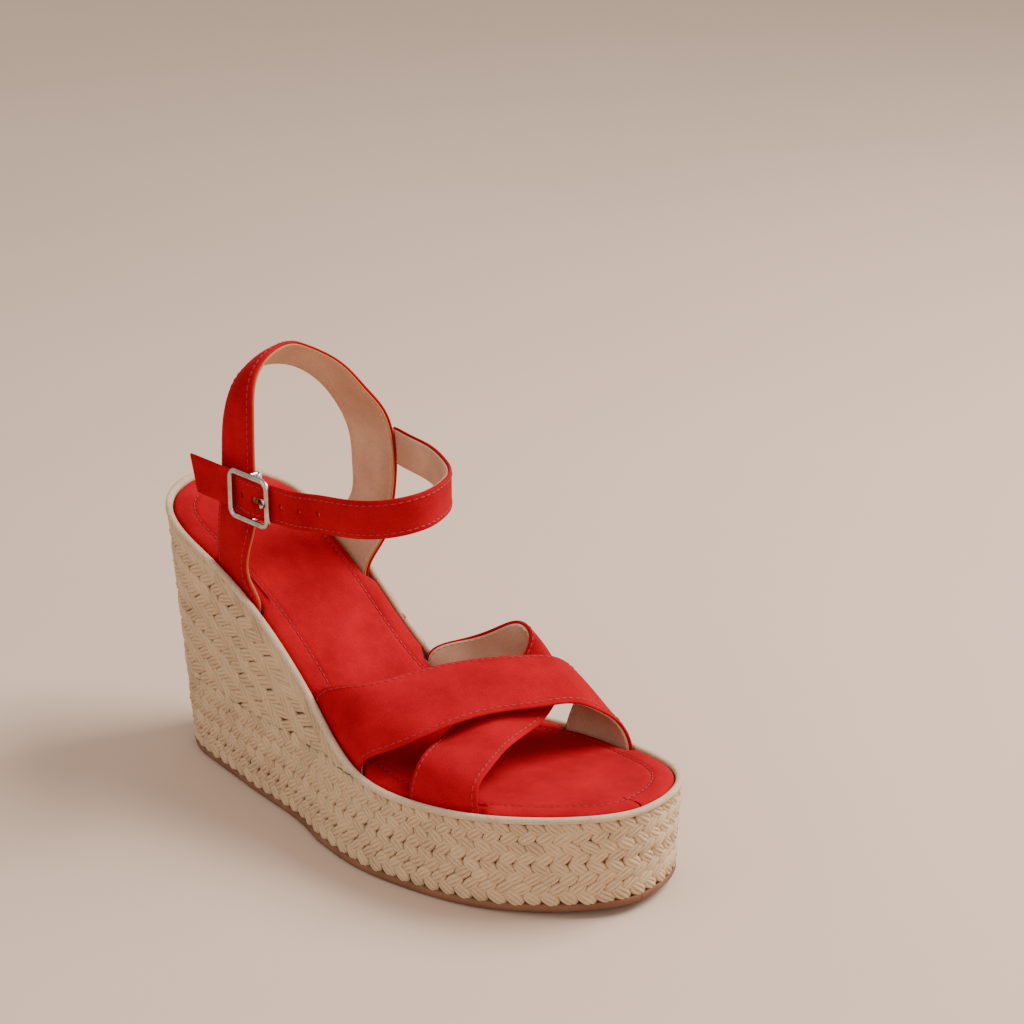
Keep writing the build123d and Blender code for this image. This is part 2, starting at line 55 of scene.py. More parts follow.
LENGTH, WIDTH = 0.228, 0.0842            # footbed, heel to toe and across the ball
HEEL_TOP, PLATFORM_TOP, TOE_TOP = 0.101, 0.0328, 0.0395
TOE_SPRING = 0.0033
SOLE_THICKNESS = 0.0028
JUTE_OUT = 0.0022                        # how far the braid stands outside the footbed
STATIONS = [0.04, 0.16, 0.30, 0.45, 0.60, 0.72, 0.84, 0.95]
INNER_HALF = [0.255, 0.314, 0.254, 0.258, 0.399, 0.498, 0.457, 0.333]
OUTER_HALF = [0.264, 0.362, 0.386, 0.411, 0.507, 0.502, 0.428, 0.240]
SIDE_HEIGHTS = [1.0, 0.827, 0.579, 0.132, 0.0]

# The sandal is drawn from the back of its footbed; the record's floor mount says where that is.
floor_mount = frame["record"]["mounts"][0]["pos_m"]
SHIFT = np.array([floor_mount[0] - 0.060, floor_mount[1] + 0.002, 0.0])


def smooth(knots, values):
    """A natural cubic spline through the values, straight beyond its ends."""
    x, y = np.array(knots, float), np.array(values, float)
    gap = np.diff(x)
    rise = np.diff(y, axis=0) / (gap[:, None] if y.ndim > 1 else gap)
    system, right = np.eye(len(x)), np.zeros_like(y)
    for i in range(1, len(x) - 1):
        system[i, i - 1:i + 2] = gap[i - 1], 2 * (gap[i - 1] + gap[i]), gap[i]
        right[i] = 6 * (rise[i] - rise[i - 1])
    bend = np.linalg.solve(system, right)
    first = rise[0] - gap[0] * bend[1] / 6
    last = rise[-1] + gap[-1] * bend[-2] / 6

    def value(q):
        q = np.asarray(q, float)
        i = np.clip(np.searchsorted(x, q) - 1, 0, len(x) - 2)
        inside = np.clip(q, x[0], x[-1])
        a = (x[i + 1] - inside) / gap[i]
        b, step = 1 - a, gap[i] ** 2 / 6
        before, after = np.minimum(q - x[0], 0), np.maximum(q - x[-1], 0)
        if y.ndim > 1:
            a, b, step = a[..., None], b[..., None], step[..., None]
            before, after = before[..., None], after[..., None]
        curve = a * y[i] + b * y[i + 1]
        curve = curve + ((a ** 3 - a) * bend[i] + (b ** 3 - b) * bend[i + 1]) * step
        return curve + first * before + last * after

    return value


roots = np.sqrt(np.array(STATIONS) * (1 - np.array(STATIONS)))
inner_ratio = smooth(STATIONS, WIDTH * np.array(INNER_HALF) / roots)
outer_ratio = smooth(STATIONS, WIDTH * np.array(OUTER_HALF) / roots)
footbed_z = smooth(
    LENGTH * np.array([0.0, 0.15, 0.32, 0.5, 0.66, 0.8, 1.0]),
    [PLATFORM_TOP + (HEEL_TOP - PLATFORM_TOP) * share for share in SIDE_HEIGHTS]
    + [0.75 * PLATFORM_TOP + 0.25 * TOE_TOP, TOE_TOP],
)


def outline(turn, out):
    """Plan points round the footbed, moved outwards by out.

    turn is 0 at the heel, 0.25 on the outer side and 0.5 at the toe."""
    def edge(t):
        u = 0.5 * (1 - np.cos(2 * np.pi * t))
        outer = np.sin(2 * np.pi * t) >= 0
        half = np.where(outer, -outer_ratio(u), inner_ratio(u))
        half = half * np.sqrt(np.maximum(u * (1 - u), 0))
        return np.stack([u * LENGTH, WIDTH * (0.1257 * u - 0.0157) + half], -1)

    along = edge(turn + 0.002) - edge(turn - 0.002)
    along /= np.linalg.norm(along, axis=-1, keepdims=True)
    away = np.stack([along[..., 1], -along[..., 0]], -1)
    return edge(turn) + away * np.asarray(out, float)[..., None]


def wall(turn, out, height):
    """Points of the leaning wall, moved outwards by out, where height(x) gives their z."""
    turn = np.asarray(turn, float)
    out = np.asarray(out, float) + 0 * turn
    u = 0.5 * (1 - np.cos(2 * np.pi * turn))
    lean = np.interp(u, [0, 0.5, 1], [-0.0088, 0.0053, -0.0024])
    top, foot = outline(turn, out), outline(turn, out + lean)
    z = height(top[..., 0])
    share = (z / footbed_z(top[..., 0]))[..., None]
    return np.concatenate([foot + (top - foot) * share, z[..., None]], -1)


def below(depth):
    """Height function of the line at a true distance below the footbed's edge."""
    def height(x):
        slope = (footbed_z(x + 0.001) - footbed_z(x - 0.001)) / 0.002
        return footbed_z(x) - depth * np.hypot(1.0, slope)
    return height


def sole_z(x):
    return TOE_SPRING * np.maximum((x - 0.72 * LENGTH) / (0.28 * LENGTH), 0) ** 2


def slab(profile, across, stations=170):
    """Closed skin, station by station.

    Each station goes up the outer side, across, down the inner side and back underneath."""
    turn = (np.arange(stations) + 0.5) / (2 * stations)
    left, right = [
        [wall(side, out(side) if callable(out) else out, height) for out, height in profile]
        for side in (turn, 1 - turn)
    ]

    def bridge(a, b, height):
        rows = []
        for share in np.linspace(0, 1, across + 2)[1:-1]:
            row = a + (b - a) * share
            row[:, 2] = height(row[:, 0])
            rows.append(row)
        return rows

    rows = left + bridge(left[-1], right[-1], profile[-1][1])
    rows += right[::-1] + bridge(right[0], left[0], profile[0][1])
    return np.stack(rows, 1)


def skin(grid, wrap_rows=False, caps=True):
    """Points and faces of a grid of rows, each row a closed loop."""
    rows, count = grid.shape[:2]
    faces = []
    for i in range(rows if wrap_rows else rows - 1):
        for j in range(count):
            k, n = (j + 1) % count, (i + 1) % rows
            faces.append((i * count + j, i * count + k, n * count + k, n * count + j))
    if caps and not wrap_rows:
        faces.append(tuple(range(count)))
        faces.append(tuple((rows - 1) * count + j for j in reversed(range(count))))
    return grid.reshape(-1, 3), faces


def mesh_object(name, points, faces, attributes=None):
    """A smooth-shaded mesh in the frame, normals outwards, from points in the sandal's own place."""
    data = bpy.data.meshes.new(name)
    data.from_pydata((np.asarray(points) + SHIFT).tolist(), [], faces)
    for key, values in (attributes or {}).items():
        values = np.asarray(values, np.float32)
        kind = "FLOAT_VECTOR" if values.ndim > 1 else "FLOAT"
        made = data.attributes.new(key, kind, "POINT")
        made.data.foreach_set("vector" if values.ndim > 1 else "value", values.ravel())
    work = bmesh.new()
    work.from_mesh(data)
    bmesh.ops.recalc_face_normals(work, faces=work.faces)
    work.to_mesh(data)
    work.free()
    for face in data.polygons:
        face.use_smooth = True
    made = bpy.data.objects.new(name, data)
    bpy.context.scene.collection.objects.link(made)
    return made


def finish_piece(piece, paint, slot, body, *nodes):
    """Gives a piece its material, the body it rides on and the CAD nodes it stands for; slot is not used.
    """
    piece.data.materials.clear()
    piece.data.materials.append(paint)
    if body:
        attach(piece, body)
    if nodes:
        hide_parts(*nodes)
    return piece


class Shade:
    """A shader socket that can be added, multiplied and subtracted like a number."""

    def __init__(self, tree, socket=None):
        self.tree, self.socket = tree, socket

    def put(self, socket, value):
        if isinstance(value, Shade):
            self.tree.links.new(value.socket, socket)
        else:
            socket.default_value = value

    def node(self, kind, settings, inputs, output=0):
        made = self.tree.nodes.new(kind)
        for key, value in settings.items():
            setattr(made, key, value)
        for key, value in inputs.items():
            self.put(made.inputs[key], value)
        return Shade(self.tree, made.outputs[output])

    def math(self, operation, first, second):
        return self.node("ShaderNodeMath", {"operation": operation}, {0: first, 1: second})

    def __add__(self, other):
        return self.math("ADD", self, other)

    def __sub__(self, other):
        return self.math("SUBTRACT", self, other)

    def __rsub__(self, other):
        return self.math("SUBTRACT", other, self)

    def __mul__(self, other):
        return self.math("MULTIPLY", self, other)

    __radd__, __rmul__ = __add__, __mul__

    def ramp(self, low, high):
        return self.node("ShaderNodeMapRange", {"interpolation_type": "SMOOTHSTEP"},
                         {"Value": self, "From Min": low, "From Max": high})

    def mix(self, first, second):
        """first where this is 0, second where it is 1."""
        return self.node("ShaderNodeMix", {"data_type": "RGBA"}, {0: self, 6: first, 7: second}, 2)

    def noise(self, scale, detail=3.0, rough=0.55):
        """Noise over these coordinates."""
        return self.node("ShaderNodeTexNoise", {}, {
            "Vector": self, "Scale": scale, "Detail": detail, "Roughness": rough}, 0)

    def stretched(self, x, y, z):
        return self.node("ShaderNodeVectorMath", {"operation": "MULTIPLY"}, {0: self, 1: (x, y, z)})

    def bump(self, distance, strength=1.0):
        return self.node("ShaderNodeBump", {}, {
            "Height": self, "Distance": distance, "Strength": strength})

    def place(self):
        return self.node("ShaderNodeTexCoord", {}, {}, "Object")

    def attribute(self, name, output="Fac"):
        return self.node("ShaderNodeAttribute", {"attribute_name": name}, {}, output)


def material(name, paint):
    """A material whose inputs come from paint(shade)."""
    made = bpy.data.materials.new(name)
    made.use_nodes = True
    shade = Shade(made.node_tree)
    shader = made.node_tree.nodes["Principled BSDF"]
    for key, value in paint(shade).items():
        shade.put(shader.inputs[key], value)
    return made


def rubber(s):
    speckle = s.place().noise(900.0, 4.0)
    patches = s.place().noise(45.0)
    return {
        "Base Color": (patches.ramp(0.3, 0.7) * 0.7 + speckle * 0.3).mix(
            (0.150, 0.058, 0.028, 1), (0.255, 0.108, 0.056, 1)),
        "Roughness": 0.62 + speckle * 0.2,
        "Normal": speckle.bump(0.00015, 0.5),
        "Specular IOR Level": 0.35,
    }


def sole_level(share):
    return lambda x: sole_z(x) + SOLE_THICKNESS * share


sole_profile = [(JUTE_OUT - 0.0005, sole_level(0.0)), (JUTE_OUT - 0.0001, sole_level(0.14)),
                (JUTE_OUT + 0.0002, sole_level(0.4)), (JUTE_OUT + 0.0002, sole_level(0.85)),
                (JUTE_OUT - 0.0003, sole_level(1.0))]
outsole = mesh_object("rubber_outsole", *skin(slab(sole_profile, 9)))
finish_piece(outsole, material("Brown rubber", rubber), "outsole_rubber", "sandal", "outsole")

# ---- Jute braid ----
# Flat jute plaits wound round the block: four level courses from the floor up, and above them
# sloping courses that follow the footbed. Each is glued to the block over a jute backing.

RIM_WIDTH = 0.0018
COURSES, FAN_COURSES = 4, 6
PLATFORM_END = 0.592 * LENGTH
LOBE_PITCH = 0.0062                      # along the plait, from one strand to the next
LOBE_WIDTH = 0.0050
LOBE_HEIGHT = 0.0017
LOBE_TILT = math.radians(36)
LOBE_DEPTH = 0.0014                      # the strands' undersides, inside the braid's face
BACKING_DEPTH = 0.0012
ROW_OFFSET = 0.235                       # each row of strands from the middle, of the width
THINNEST = 0.0006                        # a sloping course ends where it is thinner than this
chance = np.random.RandomState(7)


def course_z(level):
    """Height function of the top of a level course (0 is the outsole's top)."""
    def height(x):
        under = sole_z(x) + SOLE_THICKNESS
        top = below(RIM_WIDTH)(np.maximum(x, PLATFORM_END))
        return under + (top - under) * level / COURSES
    return height


def unit_object(name, points, faces, attributes=None):
    """A small mesh kept out of the scene, for geometry nodes to repeat."""
    made = mesh_object(name, np.asarray(points) - SHIFT, faces, attributes)
    bpy.context.scene.collection.objects.unlink(made)
    return made


def strand_lobe():
    """One strand of the plait where it comes over the top.

    It is a leaf shape of three yarns, 1 long and 1 wide."""
    along, across = np.linspace(-1, 1, 13), np.linspace(-1, 1, 19)
    points, yarn = [], []
    for s in along:
        width = max(1 - abs(s) ** 2.6, 0.0) ** 0.62
        for q in across:
            ridge = abs(math.cos(1.5 * math.pi * (q + 0.10 * s))) ** 0.6
            height = width ** 0.6 * ((1 - q * q) ** 0.40 * (0.55 + 0.36 * ridge) + 0.10)
            height = height - 0.10 * s * s - 0.16 * q * s
            side = 0.5 * q * (width * 0.92 + 0.08) + 0.05 * s * (1 - abs(s))
            points.append((0.5 * s, side, height))
            # The third yarn value is the crest profile; the jute paint turns it into painted shade in the
            # grooves between yarns.
            yarn.append((s, q, ridge))
    m = len(across)
    faces = [(i * m + j, (i + 1) * m + j, (i + 1) * m + j + 1, i * m + j + 1)
             for i in range(len(along) - 1) for j in range(m - 1)]
    return unit_object("Strand lobe", points, faces, {"yarn": yarn})


def repeat_tree():
    """Geometry nodes that put a unit at each point, turned and sized by the point's own attributes."""
    tree = bpy.data.node_groups.new("Units along a line", "GeometryNodeTree")
    for name, kind in (("Geometry", "Geometry"), ("Unit", "Object"), ("Backing", "Object"),
                       ("Size", "Float"), ("Material", "Material")):
        tree.interface.new_socket(name, in_out="INPUT", socket_type="NodeSocket" + kind)
    tree.interface.new_socket("Geometry", in_out="OUTPUT", socket_type="NodeSocketGeometry")

    def node(kind, settings, inputs):
        made = tree.nodes.new(kind)
        for key, value in settings.items():
            setattr(made, key, value)
        for key, value in inputs.items():
            if isinstance(value, bpy.types.NodeSocket):
                tree.links.new(value, made.inputs[key])
            else:
                made.inputs[key].default_value = value
        return made

    given = node("NodeGroupInput", {}, {})
    unit = node("GeometryNodeObjectInfo", {}, {"Object": given.outputs["Unit"]})
    backing = node("GeometryNodeObjectInfo", {}, {"Object": given.outputs["Backing"]})
    turned, sized = [
        node("GeometryNodeInputNamedAttribute", {"data_type": "FLOAT_VECTOR"}, {"Name": name})
        for name in ("turned", "sized")
    ]
    turn = node("FunctionNodeEulerToRotation", {}, {0: turned.outputs[0]})
    size = node("ShaderNodeVectorMath", {"operation": "SCALE"},
                {0: sized.outputs[0], "Scale": given.outputs["Size"]})
    placed = node("GeometryNodeInstanceOnPoints", {}, {
        "Points": given.outputs["Geometry"], "Instance": unit.outputs["Geometry"],
        "Rotation": turn.outputs[0], "Scale": size.outputs[0]})
    real = node("GeometryNodeRealizeInstances", {}, {0: placed.outputs[0]})
    joined = node("GeometryNodeJoinGeometry", {}, {})
    tree.links.new(real.outputs[0], joined.inputs[0])
    tree.links.new(backing.outputs["Geometry"], joined.inputs[0])
    painted = node("GeometryNodeSetMaterial", {}, {
        0: joined.outputs[0], "Material": given.outputs["Material"]})
    node("NodeGroupOutput", {}, {0: painted.outputs[0]})
    return tree


def apply_changes(piece):
    """Gives a piece the plain mesh that its modifiers make."""
    bpy.context.view_layer.update()
    graph = bpy.context.evaluated_depsgraph_get()
    data = bpy.data.meshes.new_from_object(
        piece.evaluated_get(graph), preserve_all_data_layers=True, depsgraph=graph)
    piece.modifiers.clear()
    piece.data = data
    return piece


def repeat(name, unit, paint, at, forward, away, sizes, tint, backing=None):
    """A plain mesh of units at points: each one's x goes forward and its z away."""
    away = away / np.linalg.norm(away, axis=1, keepdims=True)
    forward = forward - away * np.sum(forward * away, axis=1, keepdims=True)
    forward /= np.linalg.norm(forward, axis=1, keepdims=True)
    side = np.cross(away, forward)
    turned = [Matrix(np.stack(axes, 1).tolist()).to_euler() for axes in zip(forward, side, away)]
    seeds = mesh_object(name, at, [], {
        "turned": np.array(turned), "sized": sizes, "tint": tint})
    change = seeds.modifiers.new("Repeat", "NODES")
    change.node_group = REPEAT
    inputs = {
        item.name: item.identifier
        for item in REPEAT.interface.items_tree if item.in_out == "INPUT"
    }
    change[inputs["Unit"]] = unit
    change[inputs["Backing"]] = backing
    change[inputs["Size"]] = 1.0
    change[inputs["Material"]] = paint
    apply_changes(seeds)
    for face in seeds.data.polygons:
        face.use_smooth = True
    return seeds


REPEAT = repeat_tree()
LOBE = strand_lobe()


def jute(s):
    place, tint = s.place(), s.attribute("tint")
    yarn = s.attribute("yarn", "Vector")
    ridge = s.node("ShaderNodeSeparateXYZ", {}, {0: yarn}, 2)
    fibres = s.node("ShaderNodeVectorMath", {"operation": "ADD"}, {
        0: yarn.stretched(1.6, 16.0, 0.0), 1: place.stretched(300.0, 300.0, 300.0)})
    strand = fibres.noise(1.4, 5.0, 0.7)
    hairs = place.noise(2600.0, 3.0, 0.7)
    patches = place.noise(60.0)
    # The backing has no tint, so this mask is 0 there and the backing takes a flat dark brown: painted
    # shade in the gaps between the strands.
    light = tint.ramp(0.0, 0.5)
    # ridge makes each strand lighter on its yarns' crests and darker in the grooves between them: painted
    # shade, besides the random tint, patches and fibres.
    shade = tint * 0.40 + patches * 0.30 + strand * 0.75 + ridge * 0.30 - 0.42
    colour = light.mix((0.130, 0.072, 0.036, 1), shade.ramp(0.05, 0.85).mix(
        (0.215, 0.118, 0.058, 1), (0.720, 0.500, 0.300, 1)))
    return {
        "Base Color": colour,
        "Roughness": 0.72 + hairs * 0.2,
        "Normal": (strand * 0.7 + hairs * 0.3).bump(0.0004, 0.8),
        "Specular IOR Level": 0.3,
    }


JUTE_PAINT = material("Braided jute", jute)


def backing_band(turn, out, low, high):
    """The flat jute band behind a plait, between two height functions of the wall."""
    corners = [(0.0, low), (out, low), (out, high), (0.0, high)]
    return np.stack([wall(turn, o, h) for o, h in corners], 1)


def plait(name, node, low, high, middles, toward, closed):
    """A flat plait between two height functions; it is cut off where the level courses begin."""
    fine = (np.arange(2400) + 0.5) / 2400
    width = high(outline(fine, 0.0)[:, 0]) - low(outline(fine, 0.0)[:, 0])
    used = fine if closed else np.concatenate([fine[fine > 0.5], fine[fine < 0.5]])
    if not closed:
        width = np.concatenate([width[fine > 0.5], width[fine < 0.5]])
        used = used[width > THINNEST]
    # The backing shows only between the strands; the jute paint gives it a flat dark brown as painted
    # shade in those gaps.
    band = backing_band(used[::6], JUTE_OUT - BACKING_DEPTH, low, high)
    core = mesh_object(name + " backing", *skin(band, wrap_rows=closed))
    bpy.context.scene.collection.objects.unlink(core)
    at, ahead, away, sizes, tint = [], [], [], [], []
    for middle, upper, lower in middles:
        path = wall(used, JUTE_OUT - LOBE_DEPTH, middle)
        run = np.concatenate([[0], np.cumsum(np.linalg.norm(np.diff(path, axis=0), axis=1))])
        count = int(run[-1] / LOBE_PITCH)
        if count < 2:
            continue
        unwrapped = np.where(used > 0.5, used - 1, used) if not closed else used
        for row, line in ((1, upper), (-1, lower)):
            where = (np.arange(count) + (0.5 if row > 0 else 0.0)) / count * run[-1]
            turn = np.interp(where, run, unwrapped)
            here = wall(turn, JUTE_OUT - LOBE_DEPTH, middle)
            up = wall(turn, JUTE_OUT - LOBE_DEPTH, line)
            rise = (up - here) * row
            width = np.linalg.norm(rise, axis=1, keepdims=True) * 2
            rise = rise / np.maximum(width / 2, 1e-9)
            tangent = wall(turn + 0.001, JUTE_OUT, middle) - wall(turn - 0.001, JUTE_OUT, middle)
            tangent /= np.linalg.norm(tangent, axis=1, keepdims=True)
            tilt = LOBE_TILT + chance.normal(0, 0.05, count)[:, None]
            direction = tangent * np.cos(tilt) * toward - rise * np.sin(tilt) * row
            at.append(here + rise * row * width * ROW_OFFSET
                      + chance.normal(0, 0.00010, (count, 3)))
            ahead.append(direction)
            away.append(np.cross(tangent, rise))
            vary = 1 + chance.normal(0, 0.04, (count, 3))
            length = width[:, 0] * 0.60 / math.sin(LOBE_TILT)
            other = [np.full(count, size) for size in (LOBE_WIDTH, LOBE_HEIGHT)]
            sizes.append(np.stack([length, *other], 1) * vary)
            tint.append(np.clip(chance.normal(0.75, 0.11, count), 0.5, 1))
    at, ahead, away = np.concatenate(at), np.concatenate(ahead), np.concatenate(away)
    sizes, tint = np.concatenate(sizes), np.concatenate(tint)
    if not closed:
        keep = at[:, 2] > course_z(COURSES)(at[:, 0]) - 0.0015
        at, ahead, away, sizes, tint = at[keep], ahead[keep], away[keep], sizes[keep], tint[keep]
    made = repeat(name, LOBE, JUTE_PAINT, at, ahead, away, sizes, tint, core)
    if not closed:
        co = np.zeros(len(made.data.vertices) * 3)
        made.data.vertices.foreach_get("co", co)
        co = co.reshape(-1, 3)
        co[:, 2] = np.maximum(co[:, 2], course_z(COURSES)(co[:, 0] - SHIFT[0]) + 0.0001)
        made.data.vertices.foreach_set("co", co.ravel())
    return finish_piece(made, JUTE_PAINT, "jute", "sandal", node)


for level in range(COURSES):
    plait(f"jute_plait_{level + 1}", f"jute_course_{level + 1}", course_z(level),
          course_z(level + 1), [(course_z(level + 0.5), course_z(level + 1), course_z(level))],
          1 if level else -1, True)

platform_line = course_z(COURSES)
steepness = float(footbed_z(0.0) - footbed_z(0.010)) / 0.010
fan_width = HEEL_TOP - RIM_WIDTH - float(platform_line(0.0))
fan_width = fan_width / math.hypot(1, steepness) / FAN_COURSES
for number in range(FAN_COURSES):
    rows = (number, number + 1) if number == FAN_COURSES - 1 else (number,)
    top = below(RIM_WIDTH + fan_width * rows[0])
    bottom = below(RIM_WIDTH + fan_width * (rows[-1] + 1))
    plait(f"jute_sloping_plait_{number + 1}", f"jute_fan_{number + 1}",
          lambda x, line=bottom: np.maximum(line(x), platform_line(x)),
          lambda x, line=top: np.maximum(line(x), platform_line(x)),
          [(below(RIM_WIDTH + fan_width * (r + 0.5)), below(RIM_WIDTH + fan_width * r),
            below(RIM_WIDTH + fan_width * (r + 1))) for r in rows], 1, False)


def tape(s):
    place = s.place()
    weave = place.stretched(1.0, 1.0, 2.5).noise(1500.0, 2.0, 0.6)
    return {
        "Base Color": (weave * 0.6 + place.noise(80.0) * 0.4).ramp(0.3, 0.7).mix(
            (0.430, 0.285, 0.165, 1), (0.700, 0.510, 0.335, 1)),
        "Roughness": 0.85,
        "Normal": weave.bump(0.0003, 0.6),
    }


rim_turns = (np.arange(420) + 0.5) / 420
rim_profile = [(0.0001, 0.0020), (0.0020, 0.0021), (0.0027, 0.0016), (0.0029, 0.0009),
               (0.0026, 0.0001), (0.0018, -0.0003), (0.0009, -0.0003), (0.0002, 0.0002)]
rim_grid = np.stack([wall(rim_turns, out, below(depth)) for out, depth in rim_profile], 1)
rim = mesh_object("jute_edge", *skin(rim_grid, wrap_rows=True))
finish_piece(rim, material("Jute edge tape", tape), "jute", "sandal", "jute_rim")

# ---- Footbed ----
# Suede drawn over thin foam and lasted round the board, so its edge is soft and rounded.
# A single line of stitching runs round it; it parts from the jute only where a strap goes down.

SEAM_INSET = 0.00175                     # the straps' inner face, inside the footbed's edge
STITCH_INSET = 0.0080
EASE = 0.006                             # turn over which the footbed narrows beside a strap
BASES = {                                # where straps go down: outer side, inner side
    "over": ((0.446, 0.585), (0.671, 0.820)),
    "under": ((0.697, 0.825), (0.443, 0.557)),
    "sling": ((0.197, 0.300), (0.197, 0.304)),
}


def at_station(u, outer):
    turn = np.arccos(1 - 2 * np.asarray(u, float)) / (2 * np.pi)
    return turn if outer else 1 - turn


def edge_gap(turn):
    """How far the footbed stays inside its edge line: room for a strap, or almost none."""
    gap = np.full(np.shape(turn), 0.0002)
    for stations in BASES.values():
        for outer, (start, end) in zip((True, False), stations):
            a, b = sorted((float(at_station(start, outer)), float(at_station(end, outer))))
            room = np.clip((turn - a + EASE) / EASE, 0, 1)
            room = room * np.clip((b + EASE - turn) / EASE, 0, 1)
            gap = np.maximum(gap, 0.0031 * room)
    return gap


def inside(depth_in):
    return lambda turn: -edge_gap(turn) - depth_in


def suede(s, dark=(0.270, 0.0004, 0.0040, 1), light=(0.500, 0.0012, 0.0100, 1)):
    place = s.place()
    nap = place.noise(2200.0, 3.0, 0.7)
    brushed = place.noise(55.0, 4.0, 0.6)
    return {
        "Base Color": (brushed * 0.6 + nap * 0.5 - 0.05).ramp(0.25, 0.75).mix(dark, light),
        "Roughness": 0.86 + nap * 0.12,
        "Normal": nap.bump(0.00018, 0.5),
        "Specular IOR Level": 0.10,
        "Sheen Weight": 0.12,
        "Sheen Roughness": 0.35,
        "Sheen Tint": (1.0, 0.08, 0.10, 1),
    }


SUEDE_PAINT = material("Red suede", suede)
bed_profile = [(inside(0.0), below(0.0040)), (inside(0.0), below(0.0018)),
               (inside(0.0002), below(0.0008)), (inside(0.0008), below(0.0001)),
               (inside(0.0018), below(-0.0004)), (inside(0.0035), below(-0.0007)),
               (-0.0060, below(-0.0008)), (-0.0071, below(-0.0007)), (-0.0078, below(-0.0003)),
               (-0.0082, below(-0.0003)), (-0.0089, below(-0.0007)), (-0.0100, below(-0.0008))]
footbed = mesh_object("padded_footbed", *skin(slab(bed_profile, 24, 220)))
finish_piece(footbed, SUEDE_PAINT, "red_suede", "sandal", "footbed_cover")


def stitch_unit():
    """A stitch seen from above: a rounded bar, 1 long, 1 wide and 1 high."""
    points, faces, around = [], [], 8
    for s in np.linspace(-1, 1, 7):
        size = max(1 - abs(s) ** 3.0, 0.02) ** 0.5
        for k in range(around):
            angle = 2 * math.pi * k / around
            points.append((0.5 * s, 0.5 * size * math.cos(angle), 0.5 * size * math.sin(angle)))
    for i in range(6):
        for k in range(around):
            n = (k + 1) % around
            faces.append((i * around + k, (i + 1) * around + k,
                          (i + 1) * around + n, i * around + n))
    return unit_object("Stitch", points, faces)


STITCH = stitch_unit()
STITCH_PITCH, STITCH_SIZE = 0.0027, (0.0021, 0.00055, 0.00045)


def thread(red):
    def paint(s):
        twist = s.place().noise(3000.0, 2.0)
        dark, light = red
        return {"Base Color": twist.mix(dark, light), "Roughness": 0.6,
                "Normal": twist.bump(0.0001, 0.5)}
    return paint


RED_THREAD = material("Red thread", thread(((0.20, 0.0010, 0.0040, 1), (0.42, 0.0060, 0.0140, 1))))
BEIGE_THREAD = material("Beige thread", thread(((0.44, 0.25, 0.14, 1), (0.66, 0.44, 0.30, 1))))


def seam(name, path, away, paint, slot, body, pitch=STITCH_PITCH):
    """Stitches evenly along a path of points, with the outward direction at each."""
    run = np.concatenate([[0], np.cumsum(np.linalg.norm(np.diff(path, axis=0), axis=1))])
    where = np.arange(0.5 * pitch, run[-1], pitch)
    at = np.stack([np.interp(where, run, path[:, k]) for k in range(3)], 1)
    up = np.stack([np.interp(where, run, away[:, k]) for k in range(3)], 1)
    ahead = np.stack([np.interp(where + 0.0005, run, path[:, k]) for k in range(3)], 1)
    ahead = ahead - np.stack([np.interp(where - 0.0005, run, path[:, k]) for k in range(3)], 1)
    sizes = np.tile(np.array(STITCH_SIZE), (len(where), 1))
    made = repeat(name, STITCH, paint, at, ahead, up, sizes, np.ones(len(where)))
    return finish_piece(made, paint, slot, body)


bed_turn = (np.arange(1500) + 0.5) / 1500
bed_line = wall(bed_turn, -STITCH_INSET, below(-0.00045))
bed_next = wall(bed_turn, -0.0085, below(-0.00045))
bed_along = np.roll(bed_line, -1, axis=0) - np.roll(bed_line, 1, axis=0)
bed_up = np.cross(bed_along, bed_next - bed_line)
bed_up *= np.sign(bed_up[:, 2:3])
seam("footbed_stitching", bed_line, bed_up, RED_THREAD, "red_suede", "sandal")

# ---- Crossed vamp straps ----
# Each strap is suede with a leather lining, cut to shape, edge-stitched through both layers
# and glued down between the footbed and the braid. One strap passes over the other.

SUEDE_THICKNESS, LINING_THICKNESS, GLUE_LINE = 0.0012, 0.0009, 0.0001
STITCH_FROM_EDGE = 0.0018
BURIED = -0.0053                         # strap ends go this far below the footbed's edge
CROWN = 0.0015


def base_points(u, outer):
    places = []
    for height in (BURIED, 0.0):
        x, y = outline(np.array([float(at_station(u, outer))]), -SEAM_INSET)[0]
        places.append((x, y, float(footbed_z(u * LENGTH)) + height))
    return places


def edge_curve(points, samples=900):
    """Evenly spaced points along a smooth curve through the given ones."""
    points = np.array(points, float)
    knots = np.concatenate([[0], np.cumsum(np.linalg.norm(np.diff(points, axis=0), axis=1))])
    fine = smooth(knots, points)(np.linspace(0, knots[-1], 3000))
    run = np.concatenate([[0], np.cumsum(np.linalg.norm(np.diff(fine, axis=0), axis=1))])
    even = np.linspace(0, run[-1], samples)
    return np.stack([np.interp(even, run, fine[:, k]) for k in range(3)], 1)


